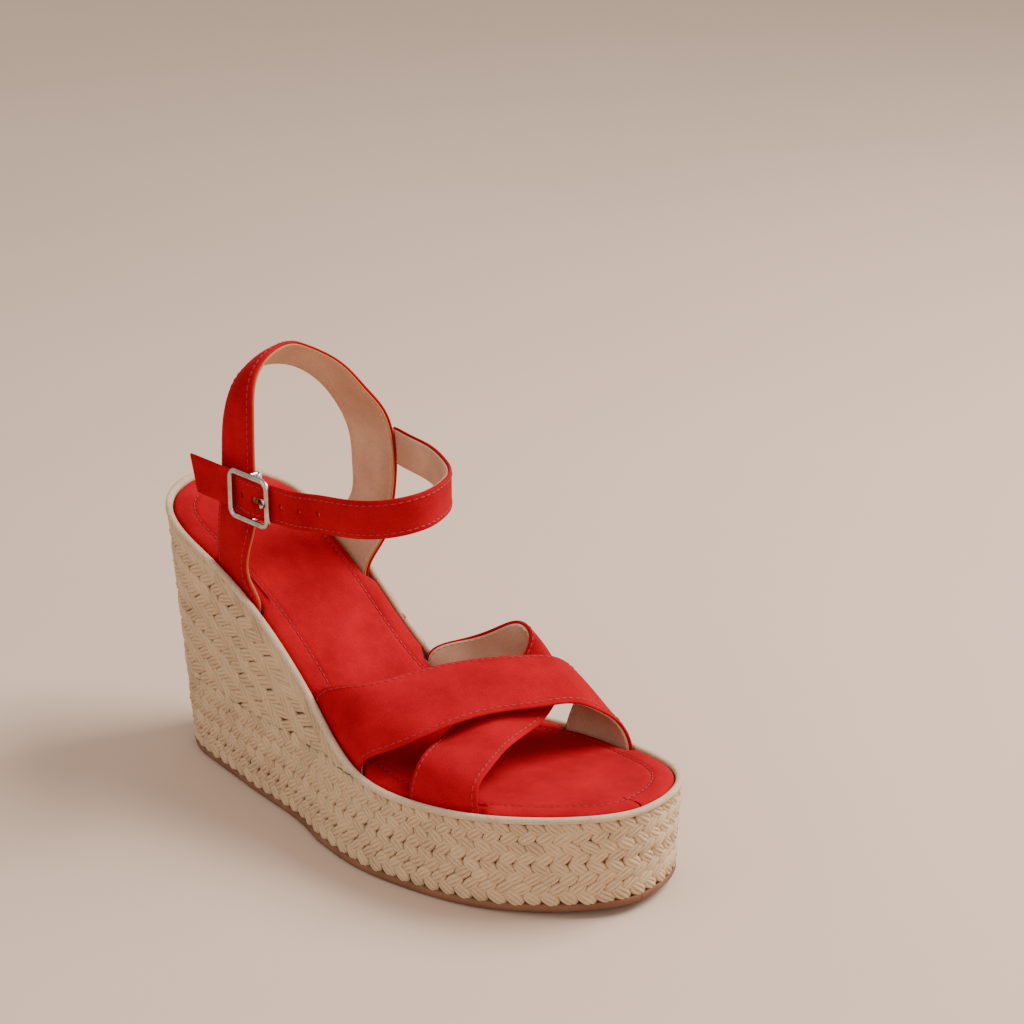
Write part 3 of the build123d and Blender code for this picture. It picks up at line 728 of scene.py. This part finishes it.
class Strap:
    """A strap's seam surface between its rear and front edges, from the outer side to the inner."""

    def __init__(self, rear, front, crown_ends=(0.0, 0.0), crown_middle=0.0, samples=900):
        self.rear, self.front = edge_curve(rear, samples), edge_curve(front, samples)
        along = np.gradient(self.rear, axis=0) + np.gradient(self.front, axis=0)
        self.out = np.cross(self.front - self.rear, along)
        self.out /= np.linalg.norm(self.out, axis=1, keepdims=True)
        self.width = np.linalg.norm(self.front - self.rear, axis=1)
        t = np.linspace(0, 1, samples)
        base = crown_ends[0] * (1 - t) + crown_ends[1] * t
        self.crown = base + (crown_middle - base) * np.sin(np.pi * t)

    def point(self, rows, place, height):
        """Points at rows of the strap, place metres from its rear edge and height outside its seam."""
        share = place / self.width[rows]
        across = self.rear[rows] + (self.front[rows] - self.rear[rows]) * share[:, None]
        rise = self.crown[rows] * 4 * share * (1 - share) + height
        return across + self.out[rows] * rise[:, None]

    def layer(self, name, low, high, rows=None, trim=0.0, inner=14):
        """Closed skin of one layer with softened edges; trim draws both edges in."""
        rows = np.arange(0, len(self.rear), 5) if rows is None else rows
        width, thick = self.width[rows], high - low
        soft = 0.45 * thick
        shares = np.linspace(0, 1, inner)
        ring_places = [(soft + trim, 0.0, s, low) for s in shares]
        ring_places += [(0.3 * soft + trim, 0.0, 1.0, low + 0.22 * thick),
                        (trim, 0.0, 1.0, low + 0.5 * thick),
                        (0.3 * soft + trim, 0.0, 1.0, high - 0.22 * thick)]
        ring_places += [(soft + trim, 0.0, 1 - s, high) for s in shares]
        ring_places += [(0.3 * soft + trim, 0.0, 0.0, high - 0.22 * thick),
                        (trim, 0.0, 0.0, low + 0.5 * thick),
                        (0.3 * soft + trim, 0.0, 0.0, low + 0.22 * thick)]
        columns, near = [], []
        for keep, _, share, height in ring_places:
            place = keep + (width - 2 * keep) * share
            columns.append(self.point(rows, place, height))
            near.append(np.minimum(place, width - place))
        points, faces = skin(np.stack(columns, 1))
        return mesh_object(name, points, faces, {"from_edge": np.stack(near, 1).ravel() * 1000})

    def stitch_line(self, front, height, start=0.03, end=0.97):
        """Path and outward directions of an edge seam on the layer's face at height."""
        rows = np.arange(int(start * len(self.rear)), int(end * len(self.rear)), 2)
        place = self.width[rows] - STITCH_FROM_EDGE if front else np.full(len(rows), STITCH_FROM_EDGE)
        path = self.point(rows, place, height)
        side = self.point(rows, place + 0.0005, height) - path
        away = np.cross(side, np.gradient(path, axis=0))
        return path, away * np.sign(np.sum(away * self.out[rows], axis=1, keepdims=True))


def lining(s):
    place, near = s.place(), s.attribute("from_edge")
    grain = place.noise(1300.0, 4.0, 0.6)
    patches = place.noise(40.0, 3.0)
    base = (patches * 0.7 + grain * 0.3).ramp(0.3, 0.7).mix(
        (0.470, 0.255, 0.150, 1), (0.680, 0.420, 0.270, 1))
    return {
        "Base Color": near.ramp(0.45, 0.90).mix((0.420, 0.150, 0.040, 1), base),
        "Roughness": 0.55 + grain * 0.2,
        "Normal": grain.bump(0.00012, 0.4),
        "Specular IOR Level": 0.35,
    }


LINING_PAINT = material("Beige leather lining", lining)


def over_footbed(points):
    return [(u * LENGTH, v * WIDTH, float(footbed_z(u * LENGTH)) + h / 1000) for u, v, h in points]


def over_heel(points):
    return [(u * LENGTH, v * WIDTH, HEEL_TOP + h / 1000) for u, v, h in points]


def edge_bulge(start, end, outer):
    """How far the footbed's edge bulges past the chord between two stations."""
    y = [float(outline(np.array([float(at_station(u, outer))]), -SEAM_INSET)[0, 1])
         for u in (start, 0.5 * (start + end), end)]
    return (-1 if outer else 1) * (y[1] - 0.5 * (y[0] + y[2]))


def lined_strap(key, rear, front, names, nodes, trim, body="sandal"):
    """Suede, lining and both seams of a strap glued down on either side."""
    outer, inner = BASES[key]
    rear = base_points(outer[0], True) + rear + base_points(inner[0], False)[::-1]
    front = base_points(outer[1], True) + front + base_points(inner[1], False)[::-1]
    strap = Strap(rear, front, (edge_bulge(*outer, True), edge_bulge(*inner, False)), CROWN)
    face = strap.layer(names[0], 0.0, SUEDE_THICKNESS)
    finish_piece(face, SUEDE_PAINT, "red_suede", body, nodes[0])
    back = strap.layer(names[1], -GLUE_LINE - LINING_THICKNESS, 0.0, trim=trim)
    finish_piece(back, LINING_PAINT, "beige_lining", body, nodes[1])
    for front_edge, word in ((False, "rear"), (True, "front")):
        path, away = strap.stitch_line(front_edge, SUEDE_THICKNESS + 0.00002)
        seam(f"{names[0]}_{word}_seam", path, away, RED_THREAD, "red_suede", body)
        path, away = strap.stitch_line(front_edge, -GLUE_LINE - LINING_THICKNESS - 0.00002)
        seam(f"{names[1]}_{word}_seam", path, -away, BEIGE_THREAD, "beige_lining", body)
    return strap


over_rear = over_footbed([
    (0.512, -0.261, 16.8), (0.555, -0.059, 23.4), (0.604, 0.190, 28.4),
    (0.643, 0.344, 29.6), (0.673, 0.487, 26.8), (0.686, 0.552, 17.4)])
over_front = over_footbed([
    (0.632, -0.380, 10.3), (0.684, -0.232, 18.4), (0.711, -0.012, 21.0), (0.746, 0.190, 20.7),
    (0.770, 0.347, 19.3), (0.785, 0.439, 14.8), (0.803, 0.517, 8.3)])
lined_strap("over", over_rear, over_front, ("upper_vamp_strap", "upper_vamp_lining"),
            ("vamp_over_strap", "vamp_over_lining"), 0.0010)

under_rear = over_footbed([
    (0.693, -0.356, 10.8), (0.669, -0.184, 13.0), (0.655, 0.0, 17.6), (0.640, 0.190, 21.0),
    (0.624, 0.333, 22.6), (0.609, 0.463, 32.8), (0.590, 0.470, 34.6), (0.549, 0.435, 28.6),
    (0.491, 0.368, 15.2)])
under_front = over_footbed([
    (0.816, -0.327, 7.0), (0.805, -0.243, 11.4), (0.765, 0.012, 13.6), (0.752, 0.160, 14.6),
    (0.724, 0.333, 17.2), (0.693, 0.445, 19.2), (0.655, 0.520, 19.6), (0.618, 0.535, 15.8),
    (0.583, 0.481, 8.3)])
lined_strap("under", under_rear, under_front, ("lower_vamp_strap", "lower_vamp_lining"),
            ("vamp_under_strap", "vamp_under_lining"), 0.0010)

# ---- Heel sling ----
# An arch of lined suede over the back of the heel, one leg down each side into the footbed.
# The ankle strap is sewn into its inner leg and the buckle's elastic into its outer leg.

sling_rear = over_heel([
    (0.215, -0.362, 6.0), (0.228, -0.362, 27.0), (0.232, -0.350, 44.0), (0.229, -0.285, 53.8),
    (0.220, -0.143, 57.5), (0.222, -0.012, 56.0), (0.224, 0.095, 51.5), (0.228, 0.190, 44.5),
    (0.232, 0.261, 36.0), (0.236, 0.315, 25.0), (0.236, 0.333, 11.0), (0.231, 0.331, -1.0)])
sling_front = over_heel([
    (0.287, -0.367, -17.0), (0.305, -0.368, 4.5), (0.309, -0.364, 28.0), (0.307, -0.356, 48.0),
    (0.297, -0.315, 60.0), (0.284, -0.202, 66.5), (0.268, -0.059, 67.0), (0.256, 0.048, 63.5),
    (0.262, 0.131, 59.5), (0.277, 0.202, 54.5), (0.303, 0.273, 45.0), (0.321, 0.327, 37.0),
    (0.331, 0.350, 28.0), (0.335, 0.356, 13.0), (0.333, 0.344, 2.0), (0.320, 0.321, -13.0)])
lined_strap("sling", sling_rear, sling_front, ("heel_sling_suede", "heel_sling_leather"),
            ("heel_sling", "heel_sling_lining"), 0.0003)

# ---- Ankle strap ----
# A narrow lined suede strap from the inner leg of the sling, round the front of the ankle and
# under the buckle, punched every 10 mm. Its loose end is cut on a slant behind the buckle.

STRAP_WIDTH = 0.0142
BUCKLE_X, STRAP_Y, STRAP_Z = 0.341 * LENGTH, -0.432 * WIDTH, HEEL_TOP + 0.0205
BAR_REACH = 0.01045                      # from the buckle's centre bar to its outer bars
BUCKLE_WIRE = 0.0021
STRAP_RISE = 0.0018                      # the strap rises this far over the centre bar
TAIL_X = BUCKLE_X - BAR_REACH - BUCKLE_WIRE
TAIL_LENGTH, TAIL_SLANT = 0.022, 0.004
HOLES = [BUCKLE_X + 0.5 * BAR_REACH + 0.010 * (n - 1) for n in range(5)]

ankle_points = over_heel([
    (0.318, 0.383, 22.4), (0.330, 0.379, 22.5), (0.345, 0.370, 22.6),
    (0.374, 0.350, 23.0), (0.434, 0.303, 24.3), (0.513, 0.202, 26.3),
    (0.590, 0.059, 28.2), (0.625, -0.071, 29.2), (0.636, -0.166, 29.0), (0.623, -0.297, 27.8),
    (0.570, -0.380, 25.4), (0.491, -0.418, 23.4)]) + [
    (BUCKLE_X + 2.2 * BAR_REACH, STRAP_Y + 0.0006, STRAP_Z + 0.001),
    (BUCKLE_X + BAR_REACH, STRAP_Y, STRAP_Z + 0.0002), (BUCKLE_X, STRAP_Y - STRAP_RISE, STRAP_Z),
    (BUCKLE_X - BAR_REACH, STRAP_Y, STRAP_Z), (TAIL_X, STRAP_Y, STRAP_Z)]
half = np.array([0, 0, 0.5 * STRAP_WIDTH])
ankle_middle = np.array(ankle_points)
ankle = Strap(ankle_middle - half, ankle_middle + half)


def cylinder(centre, radius, depth, around=20):
    """Points and faces of a cutter along Y."""
    points, faces = [], []
    for y in (-depth, depth):
        for k in range(around):
            angle = 2 * math.pi * k / around
            points.append((centre[0] + radius * math.cos(angle), centre[1] + y,
                           centre[2] + radius * math.sin(angle)))
    for k in range(around):
        n = (k + 1) % around
        faces.append((k, n, around + n, around + k))
    return points, faces + [tuple(range(around)), tuple(range(around, 2 * around))]


def punch(piece):
    """Cuts the prong holes, and the slot where the prong comes through."""
    middle = 0.5 * (ankle.rear + ankle.front)
    back = middle[len(middle) // 2:]
    points, faces = [], []
    for number, x in enumerate(HOLES):
        centre = back[np.argmin(abs(back[:, 0] - x))]
        if number == 1:
            a, b, c = 0.375 * BAR_REACH, 0.005, 0.0013
            more = [(x + i * a, centre[1] + j * b, STRAP_Z + k * c)
                    for i in (-1, 1) for j in (-1, 1) for k in (-1, 1)]
            sides = [(0, 1, 3, 2), (4, 5, 7, 6), (0, 1, 5, 4),
                     (2, 3, 7, 6), (0, 2, 6, 4), (1, 3, 7, 5)]
        else:
            more, sides = cylinder(centre, 0.001, 0.004)
        faces += [tuple(len(points) + i for i in side) for side in sides]
        points += more
    cutter = mesh_object("Punch", points, faces)
    change = piece.modifiers.new("Punch", "BOOLEAN")
    change.operation, change.object, change.solver = "DIFFERENCE", cutter, "EXACT"
    apply_changes(piece)
    bpy.data.objects.remove(cutter)
    return piece


BACK = -GLUE_LINE - LINING_THICKNESS
ankle_rows = np.arange(0, 900, 3)
ankle_face = punch(ankle.layer("ankle_strap_suede", 0.0, SUEDE_THICKNESS, ankle_rows, inner=8))
finish_piece(ankle_face, SUEDE_PAINT, "red_suede", "ankle_strap", "ankle_strap")
ankle_back = punch(ankle.layer("ankle_strap_leather", BACK, 0.0, ankle_rows, 0.0006, 8))
finish_piece(ankle_back, LINING_PAINT, "beige_lining", "ankle_strap", "ankle_strap_lining")
for top_edge, word in ((False, "lower"), (True, "upper")):
    path, away = ankle.stitch_line(top_edge, SUEDE_THICKNESS + 0.00002, 0.0, 1.0)
    seam(f"ankle_strap_{word}_seam", path, away, RED_THREAD, "red_suede", "ankle_strap")
    path, away = ankle.stitch_line(top_edge, -GLUE_LINE - LINING_THICKNESS - 0.00002, 0.0, 1.0)
    seam(f"ankle_lining_{word}_seam", path, -away, BEIGE_THREAD, "beige_lining", "ankle_strap")

tail_start, tail_end = TAIL_X + 0.0002, TAIL_X - 0.0003 - TAIL_LENGTH
tail_edges = [
    [(x, STRAP_Y, STRAP_Z + end * half[2])
     for x in (tail_start, 0.5 * (tail_start + tail_end), tail_end - end * 0.5 * TAIL_SLANT)]
    for end in (-1, 1)
]
tail = Strap(*tail_edges, samples=120)
bend_from, bend_to = [
    Vector(np.array([x, STRAP_Y, STRAP_Z]) + SHIFT) for x in (TAIL_X, TAIL_X - 0.007)]


def tail_piece(piece, paint, slot, *nodes):
    finish_piece(piece, paint, slot, None, *nodes)
    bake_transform(piece)
    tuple(bend_from)
    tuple(bend_to)


tail_rows = np.arange(0, 120, 2)
tail_face = tail.layer("strap_tail_suede", 0.0, SUEDE_THICKNESS, tail_rows, 0.0, 8)
tail_piece(tail_face, SUEDE_PAINT, "red_suede", "strap_tail")
tail_back = tail.layer("strap_tail_leather", BACK, 0.0, tail_rows, 0.0006, 8)
tail_piece(tail_back, LINING_PAINT, "beige_lining", "strap_tail_lining")

# ---- Elastic ----
# A two-ply ribbed elastic sewn inside the sling's outer leg and looped round the buckle's
# centre bar; it gives a little when the foot goes in.

PLAY = 0.0003                            # between pieces that move apart
EYE_RADIUS = 0.00195                     # the prong's eye round the centre bar
BAR_Y = STRAP_Y - STRAP_RISE + GLUE_LINE + LINING_THICKNESS + PLAY + EYE_RADIUS
ELASTIC_WIDTH, ELASTIC_THICKNESS = 0.011, 0.0009
post_y = -0.367 * WIDTH + GLUE_LINE + LINING_THICKNESS + PLAY + ELASTIC_THICKNESS


def elastic(s):
    place = s.place()
    ribs = place.node("ShaderNodeTexWave", {"bands_direction": "Z"}, {
        "Vector": place, "Scale": 480.0, "Distortion": 0.4, "Detail": 1.0})
    knit = place.noise(2500.0, 2.0)
    return {
        # The colour follows the ribs, darker in their grooves and lighter on their tops: painted shade;
        # knit adds a fine random tone.
        "Base Color": (ribs * 0.6 + knit * 0.4).mix((0.430, 0.400, 0.450, 1), (0.780, 0.750, 0.800, 1)),
        "Roughness": 0.75,
        "Normal": (ribs * 0.8 + knit * 0.2).bump(0.0005, 0.8),
    }


def band_round(path, low, high, thickness):
    """A band standing on edge along a plan path, with rounded long edges."""
    path = np.array(path)
    along = np.gradient(path, axis=0)
    side = np.stack([-along[:, 1], along[:, 0]], 1) / np.linalg.norm(along, axis=1, keepdims=True)
    loops = []
    for share, z in ((-0.3, low), (0.3, low), (0.5, low + 0.0003), (0.5, high - 0.0003),
                     (0.3, high), (-0.3, high), (-0.5, high - 0.0003), (-0.5, low + 0.0003)):
        xy = path + side * thickness * share
        loops.append(np.column_stack([xy, np.full(len(xy), z)]))
    return skin(np.stack(loops, 1))


BAR_WIRE = 0.0009                        # the centre bar's radius
loop = BAR_WIRE + GLUE_LINE + 0.5 * ELASTIC_THICKNESS
plan = edge_curve([(0.262 * LENGTH, post_y, 0), (0.29 * LENGTH, post_y, 0), (0.312 * LENGTH, post_y, 0),
                   (BUCKLE_X - 2.2 * loop, BAR_Y + 1.1 * loop, 0), (BUCKLE_X, BAR_Y + loop, 0),
                   (BUCKLE_X + loop, BAR_Y, 0), (BUCKLE_X, BAR_Y - loop, 0),
                   (BUCKLE_X - 1.6 * loop, BAR_Y - 0.3 * loop, 0)], 120)[:, :2]
gore = mesh_object("elastic_band", *band_round(
    plan, STRAP_Z - 0.5 * ELASTIC_WIDTH, STRAP_Z + 0.5 * ELASTIC_WIDTH, ELASTIC_THICKNESS))
finish_piece(gore, material("Ribbed elastic", elastic), "white_elastic", None, "elastic_gore")
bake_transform(gore)

# ---- Buckle ----
# Polished nickel-plated wire: a rounded square frame with a centre bar on the elastic, and a
# prong that turns on the bar and rests on the toe-side bar after passing through the strap.

WIRE, PRONG_WIRE = 0.5 * BUCKLE_WIRE, 0.00085
EYE_MIDDLE = 0.00145
FRAME_Y = STRAP_Y - SUEDE_THICKNESS - 2 * PLAY - WIRE


def tube(path, radius, closed, around=20):
    """Round wire along a path of points."""
    path = np.array(path, float)
    along = np.roll(path, -1, 0) - np.roll(path, 1, 0) if closed else np.gradient(path, axis=0)
    along /= np.linalg.norm(along, axis=1, keepdims=True)
    guide = np.array([0.0, 1.0, 0.0]) if np.max(abs(along[:, 1])) < 0.9 else np.array([0.0, 0.0, 1.0])
    first = np.cross(along, guide)
    first /= np.linalg.norm(first, axis=1, keepdims=True)
    second = np.cross(along, first)
    radius = np.broadcast_to(np.asarray(radius, float), (len(path),))[:, None]
    angle = 2 * np.pi * np.arange(around) / around
    loops = [path + radius * (first * math.cos(a) + second * math.sin(a)) for a in angle]
    return skin(np.stack(loops, 1), wrap_rows=closed)


def joined(*parts):
    points, faces = [], []
    for more, sides in parts:
        faces += [tuple(len(points) + i for i in side) for side in sides]
        points += [tuple(p) for p in more]
    return points, faces


def nickel(s):
    wear = s.place().noise(300.0, 4.0)
    return {
        "Base Color": wear.ramp(0.35, 0.7).mix((0.420, 0.390, 0.350, 1), (0.600, 0.570, 0.520, 1)),
        "Metallic": 1.0,
        "Roughness": 0.12 + wear * 0.12,
    }


NICKEL = material("Polished nickel", nickel)
half_x, half_z, corner = BAR_REACH, 0.5 * (STRAP_WIDTH + 0.0006 + 2 * WIRE), 0.0030
frame_path = []
for k in range(4):
    cx, cz = (half_x - corner) * (1, -1, -1, 1)[k], (half_z - corner) * (1, 1, -1, -1)[k]
    for a in np.linspace(0, 0.5 * math.pi, 13):
        angle = a + 0.5 * math.pi * k
        frame_path.append((BUCKLE_X + cx + corner * math.cos(angle), FRAME_Y,
                           STRAP_Z + cz + corner * math.sin(angle)))
legs = [
    np.linspace((BUCKLE_X, FRAME_Y, STRAP_Z + end * half_z),
                (BUCKLE_X, BAR_Y, STRAP_Z + end * half_z), 6)
    for end in (-1, 1)
]
bar = np.linspace((BUCKLE_X, BAR_Y, STRAP_Z - half_z), (BUCKLE_X, BAR_Y, STRAP_Z + half_z), 8)
buckle = mesh_object("buckle_wire_frame", *joined(
    tube(frame_path, WIRE, True), tube(bar, BAR_WIRE, False),
    tube(legs[0], BAR_WIRE, False), tube(legs[1], BAR_WIRE, False)))
finish_piece(buckle, NICKEL, "nickel", "buckle", "buckle_frame")

tip = np.array([BUCKLE_X + BAR_REACH + 0.0003, FRAME_Y - 1.3 * (WIRE + PRONG_WIRE), STRAP_Z])
arm_start = np.array([BUCKLE_X + EYE_MIDDLE, BAR_Y - 0.001, STRAP_Z])
arm = arm_start + (tip - arm_start) * np.linspace(0, 1, 14)[:, None]
rounded = np.sqrt(np.clip(1 - np.linspace(0, 1, 14) ** 14, 0.02, 1))


def eye_ring():
    """The prong's eye: a short sleeve round the centre bar."""
    loops = []
    for radius, z in ((0.00096, -0.0016), (0.00185, -0.0016),
                      (EYE_RADIUS, -0.0014), (EYE_RADIUS, 0.0014),
                      (0.00185, 0.0016), (0.00096, 0.0016)):
        angle = np.linspace(0, 2 * np.pi, 28, endpoint=False)
        loops.append(np.column_stack([BUCKLE_X + radius * np.cos(angle), BAR_Y + radius * np.sin(angle),
                                      np.full(28, STRAP_Z + z)]))
    return skin(np.stack(loops, 1), wrap_rows=True)


prong = mesh_object("buckle_prong_wire", *joined(tube(arm, PRONG_WIRE * rounded, False), eye_ring()))
finish_piece(prong, NICKEL, "nickel", "prong", "buckle_prong")

# ---- Hidden inner parts ----
# The light block, the fibre board, the spring-steel shank in the arch and the thin foam under
# the suede. They are cemented together and covered on every side.


def plain(dark, light, scale, rough, metallic=0.0):
    def paint(s):
        grain = s.place().noise(scale, 4.0)
        return {"Base Color": grain.mix(dark, light), "Roughness": rough + grain * 0.1,
                "Metallic": metallic, "Normal": grain.bump(0.0002, 0.4)}
    return paint


for node, slot_name, look in (
    ("wedge_core", "cork", plain((0.300, 0.170, 0.085, 1), (0.560, 0.370, 0.210, 1), 500.0, 0.8)),
    ("insole_board", "board", plain((0.260, 0.170, 0.100, 1), (0.400, 0.290, 0.190, 1), 700.0, 0.8)),
    ("shank", "spring_steel", plain((0.450, 0.455, 0.470, 1), (0.600, 0.605, 0.620, 1), 900.0, 0.25, 1.0)),
    ("footbed_foam", "foam", plain((0.700, 0.660, 0.560, 1), (0.850, 0.820, 0.730, 1), 1200.0, 0.9)),
):
    hidden = frame["nodes"][node]
    hidden.data.materials.clear()
    hidden.data.materials.append(material(node, look))

# ---- Floor, light and camera ----
# A plain pale floor, a large soft light high on the right and a weaker one on the left.


def floor_paint(s):
    return {"Base Color": s.place().noise(3.0).mix((0.640, 0.450, 0.330, 1), (0.700, 0.500, 0.375, 1)),
            "Roughness": 0.8}


floor_corners = np.array([(-6, -6, -0.0003), (6, -6, -0.0003), (6, 6, -0.0003), (-6, 6, -0.0003)])
floor = mesh_object("floor", floor_corners - SHIFT, [(0, 1, 2, 3)])
floor.data.materials.append(material("Floor", floor_paint))
for name, place, size, power in (
    ("key", (0.45, 0.80, 1.05), 0.8, 30.0),
    ("fill", (-0.35, -1.20, 0.80), 1.2, 4.0),
    ("front", (1.40, -0.60, 0.70), 1.0, 5.0),
):
    lamp = bpy.data.lights.new(name, "AREA")
    lamp.size, lamp.energy = size, power
    lamp_object = bpy.data.objects.new(name, lamp)
    lamp_object.location = place
    aim = Vector((0, 0, 0.06)) - Vector(place)
    lamp_object.rotation_euler = aim.to_track_quat("-Z", "Y").to_euler()
    bpy.context.scene.collection.objects.link(lamp_object)
world = bpy.data.worlds.new("Soft room")
world.use_nodes = True
world.node_tree.nodes["Background"].inputs["Color"].default_value = (1.0, 0.95, 0.90, 1)
world.node_tree.nodes["Background"].inputs["Strength"].default_value = 0.62
bpy.context.scene.world = world

camera = bpy.data.cameras.new("camera")
camera.lens, camera.sensor_width = 100.98, 36.0
camera.clip_start, camera.clip_end = 0.01, 50.0
camera_object = bpy.data.objects.new("camera", camera)
camera_object.location = (0.728809, -0.619392, 0.474901)
camera_object.rotation_euler = (math.radians(69.39), 0.0, math.radians(47.44))
bpy.context.scene.collection.objects.link(camera_object)
bpy.context.scene.camera = camera_object
